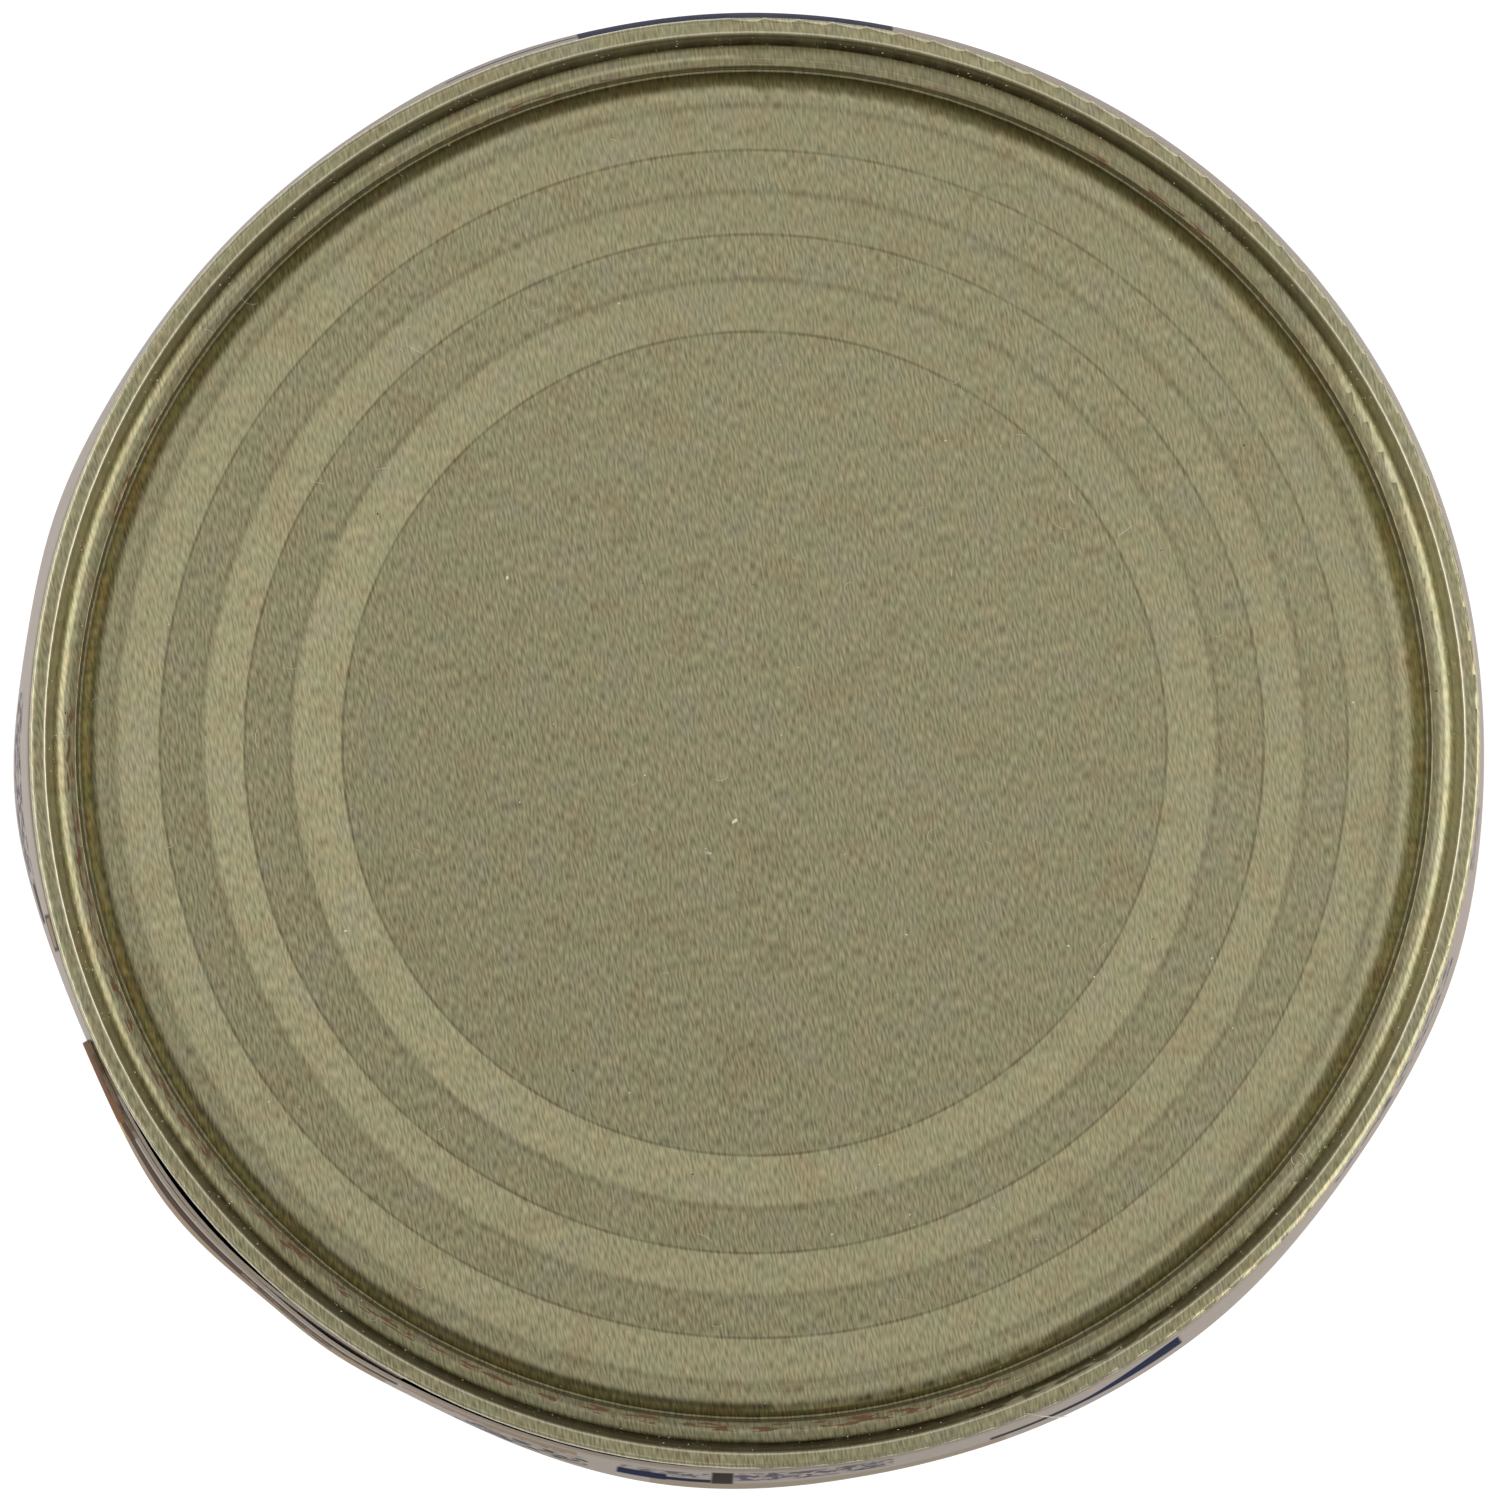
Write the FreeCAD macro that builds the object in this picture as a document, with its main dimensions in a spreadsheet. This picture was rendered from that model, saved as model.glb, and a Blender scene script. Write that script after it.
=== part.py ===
"""A shut food tin: two seamed ends, a necked body and a loose paper label.

Every size is in millimetres. The tin stands along +Z, with the origin at the centre of
the crest of its lower seam. An outline is drawn as radius against height, and turned
about the tin's axis. The contents can't be seen, so the body is solid.
"""
import FreeCAD, Part
import math
import os

import Sketcher

SIZES = {
    # Overall
    "body_diameter": 72.8,          # outside of the body wall, below the neck
    "tin_height": 110.0,            # from crest to crest
    # Double seam, the same at both ends
    "seam_inset": 0.1,              # how far the seam stands inside the body wall
    "seam_height": 2.6,
    "land_width": 0.8,              # flat top of the seam
    "shoulder_radius": 0.25,        # outer edge of the seam's top
    "lip_radius": 0.12,             # inner edge of the seam's top
    # Chuck wall, ledge and countersink groove of an end
    "end_gauge": 0.22,
    "wall_lean": 0.48,
    "wall_foot_radius": 0.8,
    "ledge_width": 1.0,
    "ledge_drop": 0.1,
    "ledge_edge_radius": 0.1,
    "step_lean": 0.1,
    "step_drop": 1.2,
    "groove_width": 0.12,
    "groove_radius": 0.05,
    "groove_rise": 0.45,
    "groove_rise_width": 0.7,
    "panel_edge_radius": 1.8,
    # Expansion rings: each riser climbs inward, from a soft foot to a crisp edge
    "rim_width": 0.97,
    "outer_riser_width": 2.26,
    "outer_tread_width": 2.16,
    "middle_riser_width": 2.1,
    "inner_tread_width": 2.33,
    "inner_riser_width": 2.57,
    "riser_rise": 0.4,
    "riser_foot_radius": 1.8,
    "riser_edge_radius": 0.35,
    # Body
    "body_gauge": 0.2,
    "neck_height": 0.8,
    "neck_radius": 0.5,
    "flare_height": 2.2,
    "flare_radius": 1.5,
    # Paper label
    "label_thickness": 0.15,
    "label_clearance": 0.08,        # at the tightest place round the body
    "label_gap": 0.4,               # from the seam to the label's edge
    "label_tuck": 0.25,             # how far the edge leans in over the neck
    "label_turn_height": 2.6,       # height over which the edge leans in
    "label_slack_height": 14.0,     # from the edge, where the paper is still loose
    "label_wave": 0.8,              # how far the loosest paper stands off
    "lap_start": 204.0,             # azimuth of the label's outer end, in degrees
    "lap_angle": 37.0,              # how far the outer end covers the inner one
    "lap_gap": 0.08,                # between the two ends of the label
}

# Tread and riser of each expansion ring, from the outermost inward.
RINGS = [("rim_width", "outer_riser_width"),
         ("outer_tread_width", "middle_riser_width"),
         ("inner_tread_width", "inner_riser_width")]

# Where the loose paper stands off the body: azimuth, half width in degrees, share.
LABEL_SWELLS = [(20, 75, 0.24), (60, 34, 0.2), (95, 14, 0.16), (112, 9, 0.24), (162, 10, 0.45),
                (184, 11, 0.78), (219, 11, 0.28), (264, 16, 0.9), (297, 22, 0.68),
                (311, 9, 0.15), (342, 12, 0.43)]
LAP_SWELLS = [(219, 9, 0.55), (235, 6, 0.35)]       # of the outer end alone
EDGE_LOOSENESS = 0.12               # share of the wave at the label's edge
LAP_EDGE_LOOSENESS = 0.9            # and at the edge of the outer end
SLACK_LOOSENESS = 0.8               # and at the slack height
MIDDLE_LOOSENESS = 0.25             # and half way up
TURN_SHARES = (0.0, 1 / 3, 2 / 3, 1.0)
LABEL_POINTS = 132                  # places that hold the curve round the label
LABEL_STRETCHES = 12                # faces that follow one another round it


class Corner:
    """A corner of an outline: its place, its rounding and what lies behind it.

    behind is how many gauges outward the inner side of the sheet lies at this corner.
    """

    def __init__(self, radial, height, rounding=None, behind=0):
        self.radial = radial
        self.height = height
        self.rounding = rounding
        self.behind = behind


def cell(name):
    """The sheet's cell of that alias, as it is written in an expression."""
    return f"Sizes.{name}"


def fill_sheet(doc):
    sheet = doc.addObject("Spreadsheet::Sheet", "Sizes")
    for row, (name, value) in enumerate(SIZES.items(), start=1):
        sheet.set(f"A{row}", name)
        sheet.set(f"B{row}", str(value))
        sheet.setAlias(f"B{row}", name)
    doc.recompute()
    return sheet


# ---- Outlines ----

def seam_corners():
    """The seam and what hangs from it, from its lower outer edge in to the panel's edge.

    Heights are measured from the crest of the seam, with + pointing out of the tin.
    """
    seam = f"{cell('body_diameter')} / 2 - {cell('seam_inset')}"
    lip = f"{seam} - {cell('land_width')}"
    wall_foot = f"{lip} - {cell('wall_lean')}"
    ledge_edge = f"{wall_foot} - {cell('ledge_width')}"
    groove_outer = f"{ledge_edge} - {cell('step_lean')}"
    groove_inner = f"{groove_outer} - {cell('groove_width')}"
    panel_edge = f"{groove_inner} - {cell('groove_rise_width')}"
    seam_foot = f"-{cell('seam_height')}"
    ledge = f"{seam_foot} - {cell('ledge_drop')}"
    groove = f"{ledge} - {cell('step_drop')}"
    panel = f"{groove} + {cell('groove_rise')}"
    return [Corner(seam, seam_foot),
            Corner(seam, "0", "shoulder_radius"),
            Corner(lip, "0", "lip_radius"),
            Corner(wall_foot, seam_foot, "wall_foot_radius", behind=1),
            Corner(ledge_edge, ledge, "ledge_edge_radius", behind=1),
            Corner(groove_outer, groove, "groove_radius", behind=1),
            Corner(groove_inner, groove, "groove_radius", behind=-0.5),
            Corner(panel_edge, panel, "panel_edge_radius", behind=-0.5)]


def panel_corners(panel_edge):
    """The expansion rings, climbing from the panel's edge to its centre."""
    radial = panel_edge.radial
    level = panel_edge.height
    corners = []
    for tread, riser in RINGS:
        radial = f"{radial} - {cell(tread)}"
        corners.append(Corner(radial, level, "riser_foot_radius"))
        radial = f"{radial} - {cell(riser)}"
        level = f"{level} + {cell('riser_rise')}"
        corners.append(Corner(radial, level, "riser_edge_radius"))
    corners.append(Corner("0", level))
    return corners


def end_underside():
    """The inner side of an end, from the centre out to the foot of the seam.

    Flat stretches lie one gauge below the outer side, and the walls one gauge behind it.
    """
    gauge = cell("end_gauge")
    seam = seam_corners()
    sheet_corners = [corner for corner in seam if corner.behind] + panel_corners(seam[-1])
    underside = [Corner(f"{corner.radial} + {corner.behind} * {gauge}" if corner.behind
                        else corner.radial, f"{corner.height} - {gauge}")
                 for corner in reversed(sheet_corners)]
    underside[-1].height = sheet_corners[0].height
    return underside


def end_outline():
    seam = seam_corners()
    return seam + panel_corners(seam[-1]) + end_underside()


def body_outline():
    """The filled body: out under the lower end, up the wall, and in under the upper end."""
    underside = end_underside()
    neck = f"{underside[-1].radial} + {cell('body_gauge')}"
    neck_end = f"{cell('seam_height')} + {cell('neck_height')}"
    wall = [Corner(neck, cell("seam_height")),
            Corner(neck, neck_end, "neck_radius"),
            Corner(f"{cell('body_diameter')} / 2", f"{neck_end} + {cell('flare_height')}",
                   "flare_radius")]
    lower_half = [Corner(corner.radial, f"-({corner.height})") for corner in underside] + wall
    upper_half = [Corner(corner.radial, f"{cell('tin_height')} - ({corner.height})",
                         corner.rounding)
                  for corner in reversed(lower_half)]
    return lower_half + upper_half


# ---- Drawing and turning an outline ----

def bind(sketch, name, expression, constraint):
    """Add a dimension, and bind it to an expression of the sheet's cells."""
    index = sketch.addConstraint(constraint)
    sketch.renameConstraint(index, name)
    sketch.setExpression(f"Constraints.{name}", expression)


def rounding_arc(before, at, after, radius):
    """The arc that rounds a corner: where it begins and ends on the two sides, its centre."""
    back = (before - at).normalize()
    ahead = (after - at).normalize()
    half_angle = back.getAngle(ahead) / 2
    reach = radius / math.tan(half_angle)
    centre = at + (back + ahead).normalize() * (radius / math.sin(half_angle))
    return at + back * reach, at + ahead * reach, centre


def round_corner(sketch, at, arc, radius, line_in, line_out):
    """Join two sides by a tangent arc, and keep their corner as a drawn point."""
    arrive, leave, centre = arc
    turns_left = (arrive - centre).cross(leave - centre).z > 0
    first, last = (arrive, leave) if turns_left else (leave, arrive)
    angles = [math.atan2((point - centre).y, (point - centre).x) for point in (first, last)]
    circle = Part.Circle(centre, FreeCAD.Vector(0, 0, 1), radius)
    curve = sketch.addGeometry(Part.ArcOfCircle(circle, *angles))
    arc_start, arc_stop = (1, 2) if turns_left else (2, 1)
    sketch.addConstraint(Sketcher.Constraint("Tangent", line_in, 2, curve, arc_start))
    sketch.addConstraint(Sketcher.Constraint("Tangent", line_out, 1, curve, arc_stop))
    point = sketch.addGeometry(Part.Point(at), True)
    sketch.addConstraint(Sketcher.Constraint("PointOnObject", point, 1, line_in))
    sketch.addConstraint(Sketcher.Constraint("PointOnObject", point, 1, line_out))
    return curve, point


def place_corner(sketch, index, corner, at, geometry):
    """Hold a corner at its radius and its height, or on the sketch's axes."""
    if corner.radial == "0":
        sketch.addConstraint(Sketcher.Constraint("PointOnObject", geometry, 1, -2))
    else:
        bind(sketch, f"radial_{index}", corner.radial,
             Sketcher.Constraint("DistanceX", -1, 1, geometry, 1, at.x))
    if corner.height == "0":
        sketch.addConstraint(Sketcher.Constraint("PointOnObject", geometry, 1, -1))
    else:
        bind(sketch, f"height_{index}", corner.height,
             Sketcher.Constraint("DistanceY", -1, 1, geometry, 1, at.y))


def draw_outline(sketch, corners):
    """Draw a closed outline of sides and roundings, each corner bound to the sheet."""
    places = [FreeCAD.Vector(sketch.evalExpression(corner.radial),
                             sketch.evalExpression(corner.height), 0) for corner in corners]
    count = len(corners)
    starts = list(places)
    stops = list(places)
    arcs = {}
    for index, corner in enumerate(corners):
        if corner.rounding:
            radius = sketch.evalExpression(cell(corner.rounding))
            arcs[index] = rounding_arc(places[index - 1], places[index],
                                       places[(index + 1) % count], radius)
            stops[index], starts[index] = arcs[index][:2]
    sides = [sketch.addGeometry(Part.LineSegment(starts[index], stops[(index + 1) % count]))
             for index in range(count)]
    for index, corner in enumerate(corners):
        held = sides[index]
        if index in arcs:
            radius = sketch.evalExpression(cell(corner.rounding))
            curve, held = round_corner(sketch, places[index], arcs[index], radius,
                                       sides[index - 1], sides[index])
            bind(sketch, f"rounding_{index}", cell(corner.rounding),
                 Sketcher.Constraint("Radius", curve, radius))
        else:
            sketch.addConstraint(
                Sketcher.Constraint("Coincident", sides[index - 1], 2, sides[index], 1))
        place_corner(sketch, index, corner, places[index], held)


def turned_piece(doc, label, corners):
    """A body turned from one outline about the tin's axis."""
    piece = doc.addObject("PartDesign::Body", label)
    piece.Label = label
    plane = next(item for item in piece.Origin.OriginFeatures if item.Role == "XZ_Plane")
    sketch = piece.newObject("Sketcher::SketchObject", f"{label}_outline")
    sketch.AttachmentSupport = [(plane, "")]
    sketch.MapMode = "FlatFace"
    draw_outline(sketch, corners)
    doc.recompute()
    turn = piece.newObject("PartDesign::Revolution", f"{label}_turn")
    turn.Profile = sketch
    turn.ReferenceAxis = (sketch, ["V_Axis"])
    turn.Angle = 360
    return piece


# ---- The pieces ----

def make_top_end(doc):
    """The upper end, seated with the crest of its seam at the tin's full height."""
    end = turned_piece(doc, "end_top", end_outline())
    end.setExpression(".Placement.Base.z", cell("tin_height"))


def make_bottom_end(doc):
    """The lower end, the same pressing turned over, with its crest at the origin."""
    end = turned_piece(doc, "end_bottom", end_outline())
    over = FreeCAD.Rotation(FreeCAD.Vector(1, 0, 0), 180)
    end.Placement = FreeCAD.Placement(FreeCAD.Vector(0, 0, 0), over)


def make_body(doc):
    turned_piece(doc, "body", body_outline())


def label_swell(swells, azimuth):
    """How far the loose paper stands off at an azimuth, from 0 to about 1."""
    total = 0.0
    for middle, half_width, share in swells:
        away = (azimuth - middle + 180) % 360 - 180
        total += share * math.exp(-(away / half_width) ** 2)
    return total


def label_levels(size):
    """Heights of the label's sections, each with its lean inward and its looseness.

    The looseness comes twice, for the whole label and for the swells of its outer end.
    """
    edge = size["seam_height"] + size["label_gap"]
    lower = []
    for share in TURN_SHARES:
        height = edge + size["label_turn_height"] * share
        lean = size["label_tuck"] * (1 - share) ** 2
        lower.append((height, lean, EDGE_LOOSENESS + (1 - EDGE_LOOSENESS) * share,
                      LAP_EDGE_LOOSENESS + (1 - LAP_EDGE_LOOSENESS) * share))
    lower.append((edge + size["label_slack_height"], 0.0, SLACK_LOOSENESS, SLACK_LOOSENESS))
    middle = [(size["tin_height"] / 2, 0.0, MIDDLE_LOOSENESS, MIDDLE_LOOSENESS)]
    upper = [(size["tin_height"] - height, *others) for height, *others in reversed(lower)]
    return lower + middle + upper


def label_face(size, level, depth):
    """One level's open curve round the label, depth outside its inner face, in stretches.

    It runs from the covered end once round and on over it to the outer end.
    """
    height, lean, looseness, lap_looseness = level
    tight = size["body_diameter"] / 2 + size["label_clearance"] - lean + depth
    lift = size["label_thickness"] + size["lap_gap"]
    covered_end = size["lap_start"] + size["lap_angle"]
    whole_turn = 360 + size["lap_angle"]
    turns = [whole_turn * index / LABEL_POINTS for index in range(LABEL_POINTS + 1)]
    points = []
    for turned in turns:
        azimuth = covered_end - turned
        climb = min(1.0, max(0.0, 1 + (turned - 360) / size["lap_angle"]))
        swell = (looseness * label_swell(LABEL_SWELLS, azimuth)
                 + climb * lap_looseness * label_swell(LAP_SWELLS, azimuth))
        radial = tight + size["label_wave"] * swell + lift * climb
        angle = math.radians(azimuth)
        points.append(FreeCAD.Vector(radial * math.cos(angle), radial * math.sin(angle), height))
    curve = Part.BSplineCurve()
    curve.interpolate(Points=points, Parameters=turns)
    stretches = []
    for index in range(LABEL_STRETCHES):
        stretch = curve.copy()
        start = whole_turn * index / LABEL_STRETCHES
        end = whole_turn * (index + 1) / LABEL_STRETCHES
        stretch.segment(start, end)
        stretches.append(stretch.toShape())
    return stretches


def label_section(size, level):
    """One level's closed outline: the inner face, the outer face and the two ends."""
    inner = label_face(size, level, 0.0)
    outer = label_face(size, level, size["label_thickness"])
    outer_end = Part.makeLine(inner[-1].lastVertex().Point, outer[-1].lastVertex().Point)
    covered_end = Part.makeLine(outer[0].firstVertex().Point, inner[0].firstVertex().Point)
    return Part.Wire(inner + [outer_end] + outer[::-1] + [covered_end])


def make_label(doc, sheet):
    """The paper label: one strip wrapped round the body, its ends lapped."""
    size = {name: sheet.get(name) for name in SIZES}
    sections = [label_section(size, level) for level in label_levels(size)]
    label = doc.addObject("Part::Feature", "label")
    label.Label = "label"
    label.Shape = Part.makeLoft(sections, True, True)
    label.Placement = FreeCAD.Placement()


# ---- Checking and writing ----

def check(doc):
    """Stop if anything failed to build, or a sketch is left loose."""
    for item in doc.Objects:
        if "Invalid" in item.State or "Error" in item.State:
            raise RuntimeError(f"{item.Label} failed to build")
        if item.TypeId == "Sketcher::SketchObject" and not item.FullyConstrained:
            raise RuntimeError(f"{item.Label} isn't fully constrained")


def write(doc):
    """Write each piece's solid to its own file."""
    os.makedirs("parts", exist_ok=True)
    for name in ("end_top", "body", "end_bottom", "label"):
        shape = doc.getObject(name).Shape
        if shape.isNull() or not shape.isValid() or len(shape.Solids) != 1:
            raise RuntimeError(f"{name} isn't one valid solid")
        shape.exportStep(f"parts/{name}.step")
        print(f"{name}: {shape.Volume:.1f} mm3, {len(shape.Faces)} faces")


doc = FreeCAD.newDocument("Tin")
sheet = fill_sheet(doc)
make_top_end(doc)
make_body(doc)
make_bottom_end(doc)
make_label(doc, sheet)
doc.recompute()
check(doc)
write(doc)
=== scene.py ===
"""A shut food tin stood on end, seen from straight above, with a loose paper label.

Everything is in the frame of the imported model: +Z runs up the tin's axis and azimuths, in
degrees, turn from +X towards +Y. Meshes are in metres. Radii of the end, heights of the print
and sizes of the dust are listed in millimetres, and are turned into metres where they are used.
"""
import math
import random

import bpy
from mathutils import Matrix, Vector
from mathutils.bvhtree import BVHTree


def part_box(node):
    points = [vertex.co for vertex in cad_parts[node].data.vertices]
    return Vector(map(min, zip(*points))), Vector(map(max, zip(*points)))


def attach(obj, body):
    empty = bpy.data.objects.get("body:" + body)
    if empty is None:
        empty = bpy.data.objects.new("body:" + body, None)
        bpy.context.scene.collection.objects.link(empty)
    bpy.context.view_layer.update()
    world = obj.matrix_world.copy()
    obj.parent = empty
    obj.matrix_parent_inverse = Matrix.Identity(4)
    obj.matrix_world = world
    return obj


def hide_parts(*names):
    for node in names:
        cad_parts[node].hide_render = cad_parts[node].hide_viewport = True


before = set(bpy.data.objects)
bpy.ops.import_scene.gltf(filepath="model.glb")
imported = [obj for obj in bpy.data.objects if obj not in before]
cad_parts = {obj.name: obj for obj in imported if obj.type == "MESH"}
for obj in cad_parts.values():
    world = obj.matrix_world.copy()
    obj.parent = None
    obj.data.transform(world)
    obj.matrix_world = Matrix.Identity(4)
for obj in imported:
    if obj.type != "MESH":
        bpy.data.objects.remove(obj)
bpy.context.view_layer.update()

MM = 0.001
SEED = 7


# ---- Small helpers ----

def on_circle(radius, azimuth, height):
    """The point at a radius and azimuth in degrees."""
    angle = math.radians(azimuth)
    return Vector((radius * math.cos(angle), radius * math.sin(angle), height))


def linear(red, green, blue):
    """A colour given as it looks on screen, 0 to 255, as the shader wants it."""
    shares = []
    for level in (red, green, blue):
        share = level / 255
        shares.append(share / 12.92 if share <= 0.04045 else ((share + 0.055) / 1.055) ** 2.4)
    return (*shares, 1.0)


def mesh_object(name, points, faces, material):
    """A mesh of one material, placed in the scene."""
    mesh = bpy.data.meshes.new(name)
    mesh.from_pydata(points, [], faces)
    mesh.update()
    mesh.materials.append(material)
    piece = bpy.data.objects.new(name, mesh)
    bpy.context.scene.collection.objects.link(piece)
    return piece


def tin_piece(name, points, faces, material, smooth=True):
    """A mesh that belongs to the tin and rides on its one body."""
    piece = mesh_object(name, points, faces, material)
    for polygon in piece.data.polygons:
        polygon.use_smooth = smooth
    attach(piece, "root")
    return piece


# ---- Materials: a small language for shader nodes ----

MIX_COLOURS = slice(6, 8)       # the colour sockets among all those of a mix node
MIX_RESULT = 2
TOWARDS_SOFT = 2                # degrees of softness at each end of a stretch of the rim


class Shade:
    """Builds the nodes of one material, or of the world, by plain calls."""

    def __init__(self, owner, dimensions="3D"):
        owner.use_nodes = True
        self.owner = owner
        self.dimensions = dimensions
        self.tree = owner.node_tree
        self.tree.nodes.clear()

    def node(self, kind, **settings):
        node = self.tree.nodes.new(kind)
        for key, value in settings.items():
            setattr(node, key, value)
        return node

    def feed(self, socket, value):
        """Set a socket to a number, vector or colour, or link it."""
        if isinstance(value, bpy.types.NodeSocket):
            self.tree.links.new(value, socket)
        else:
            socket.default_value = value

    def math(self, operation, first, second=0.0, third=0.0):
        node = self.node("ShaderNodeMath", operation=operation)
        for socket, value in zip(node.inputs, (first, second, third)):
            self.feed(socket, value)
        return node.outputs[0]

    def chain(self, operation, values):
        """Several values joined by one operation, from the first on."""
        result = values[0]
        for value in values[1:]:
            result = self.math(operation, result, value)
        return result

    def add(self, *terms):
        return self.chain("ADD", terms)

    def times(self, *factors):
        return self.chain("MULTIPLY", factors)

    def either(self, *masks):
        """The largest of several masks."""
        return self.chain("MAXIMUM", masks)

    def least(self, *values):
        return self.chain("MINIMUM", values)

    def ramp(self, value, low, high, start=0.0, end=1.0):
        """start at low, end at high, smooth between and flat beyond."""
        node = self.node("ShaderNodeMapRange", interpolation_type="SMOOTHSTEP")
        for key, number in (("Value", value), ("From Min", low), ("From Max", high),
                            ("To Min", start), ("To Max", end)):
            self.feed(node.inputs[key], number)
        return node.outputs[0]

    def band(self, value, low, high, soft):
        """1 between low and high, 0 outside, with soft edges."""
        rise = self.ramp(value, low - soft, low + soft)
        fall = self.ramp(value, high - soft, high + soft, 1.0, 0.0)
        return self.times(rise, fall)

    def mix(self, factor, first, second, blend="MIX"):
        """The first colour where the factor is 0, the second where it is 1."""
        node = self.node("ShaderNodeMix", data_type="RGBA", blend_type=blend)
        self.feed(node.inputs[0], factor)
        for socket, colour in zip(node.inputs[MIX_COLOURS], (first, second)):
            self.feed(socket, colour)
        return node.outputs[MIX_RESULT]

    def tint(self, colour, factor):
        """A colour made lighter or darker by a factor."""
        node = self.node("ShaderNodeVectorMath", operation="SCALE")
        linked = isinstance(colour, bpy.types.NodeSocket)
        self.feed(node.inputs["Vector"], colour if linked else colour[:3])
        self.feed(node.inputs["Scale"], factor)
        return node.outputs[0]

    def place(self):
        """The point on the object, in metres."""
        return self.node("ShaderNodeTexCoord").outputs["Object"]

    def split(self, vector):
        """The three shares of a vector."""
        node = self.node("ShaderNodeSeparateXYZ")
        self.feed(node.inputs[0], vector)
        return node.outputs

    def join(self, x, y, z):
        node = self.node("ShaderNodeCombineXYZ")
        for socket, value in zip(node.inputs, (x, y, z)):
            self.feed(socket, value)
        return node.outputs[0]

    def turned(self, vector, degrees, scale):
        """The vector turned about Z and scaled along its new axes, each scale per metre."""
        turn = self.node("ShaderNodeMapping", vector_type="POINT")
        self.feed(turn.inputs["Vector"], vector)
        turn.inputs["Rotation"].default_value = (0, 0, math.radians(degrees))
        stretch = self.node("ShaderNodeMapping", vector_type="POINT")
        self.feed(stretch.inputs["Vector"], turn.outputs[0])
        stretch.inputs["Scale"].default_value = scale
        return stretch.outputs[0]

    def noise(self, vector, scale=1.0, detail=2.0, rough=0.5, warp=0.0, dimensions=None):
        node = self.node("ShaderNodeTexNoise", noise_dimensions=dimensions or self.dimensions)
        self.feed(node.inputs["Vector"], vector)
        node.inputs["Scale"].default_value = scale
        node.inputs["Detail"].default_value = detail
        node.inputs["Roughness"].default_value = rough
        node.inputs["Distortion"].default_value = warp
        return node.outputs[0]

    def vector(self, operation, first, second=(0, 0, 0)):
        node = self.node("ShaderNodeVectorMath", operation=operation)
        self.feed(node.inputs[0], first)
        self.feed(node.inputs[1], second)
        return node.outputs["Value" if operation in ("DOT_PRODUCT", "LENGTH", "DISTANCE")
                            else "Vector"]

    def nearest(self, value, marks):
        """The distance of a value from the nearest of some marks."""
        return self.least(*[self.math("ABSOLUTE", self.add(value, -mark)) for mark in marks])

    def towards(self, heading, azimuth, half):
        """1 within half an angle of an azimuth, for a level heading of length 1."""
        near = self.vector("DOT_PRODUCT", heading, on_circle(1, azimuth, 0))
        return self.ramp(near, math.cos(math.radians(half + TOWARDS_SOFT)),
                         math.cos(math.radians(half - TOWARDS_SOFT)))

    def bump(self, height, distance, strength=1.0, normal=None):
        node = self.node("ShaderNodeBump")
        node.inputs["Strength"].default_value = strength
        node.inputs["Distance"].default_value = distance
        self.feed(node.inputs["Height"], height)
        if normal is not None:
            self.feed(node.inputs["Normal"], normal)
        return node.outputs[0]

    def principled(self, colour, rough, metal, normal=None, **fixed):
        shader = self.node("ShaderNodeBsdfPrincipled")
        self.feed(shader.inputs["Base Color"], colour)
        self.feed(shader.inputs["Roughness"], rough)
        self.feed(shader.inputs["Metallic"], metal)
        if normal is not None:
            self.feed(shader.inputs["Normal"], normal)
        for key, number in fixed.items():
            shader.inputs[key.replace("_", " ")].default_value = number
        return shader.outputs[0]

    def surface(self, colour, rough, metal, normal=None, **fixed):
        """Close the material with one principled shader."""
        shader = self.principled(colour, rough, metal, normal, **fixed)
        return self.close(shader, "ShaderNodeOutputMaterial")

    def mix_shader(self, factor, first, second):
        """The first shader where the factor is 0, the second where it is 1."""
        node = self.node("ShaderNodeMixShader")
        for socket, value in zip(node.inputs, (factor, first, second)):
            self.feed(socket, value)
        return node.outputs[0]

    def close(self, shader, kind):
        """Send a finished shader to the output."""
        output = self.node(kind)
        self.tree.links.new(shader, output.inputs["Surface"])
        return self.owner


def new_shade(name, dimensions="3D"):
    return Shade(bpy.data.materials.new(name), dimensions)


# ---- The metal ----

GREEN_OLIVE = linear(163, 160, 126)
BEIGE_OLIVE = linear(168, 160, 126)
LILAC_GREY = linear(156, 150, 134)
RED_BROWN = linear(164, 142, 110)
RUST = linear(104, 60, 32)
# Dark colour multiplied in for grime and stains and for painted shade
GRIME_AND_SHADE = linear(96, 78, 44)
DUST = linear(206, 200, 172)
BARE = linear(214, 207, 186)            # tin rubbed bare on the seam's edges
WALL_STEEL = (linear(150, 146, 130), linear(178, 172, 152))     # of the body, at its necks
# Lacquer: scales of its noises per metre, and how its tone is made up
GRAIN_TILT = -11                        # degrees that the grain leans from the tin's Y axis
GRAIN_SCALE = (10500, 2000, 10500)      # fine across the grain, drawn out along it
MOTTLE_SCALE = 620
STAIN_SCALE = (360, 360, 360)
STAIN_TILT = 40
TONE = 0.49
GRAIN_TONE = 0.76
STAIN_TONE = 0.08
PAINTED_LIGHT_AZIMUTH = 55                     # painted light: where the lacquer is made brightest
PAINTED_LIGHT_GAIN = 3.4                       # gain of the painted light in its tone per metre towards there
METAL_ROUGH = 0.27
GRAIN_ROUGH = 0.08                      # roughness that the grain's height adds
GRAIN_DEPTH = 0.005 * MM
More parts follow.
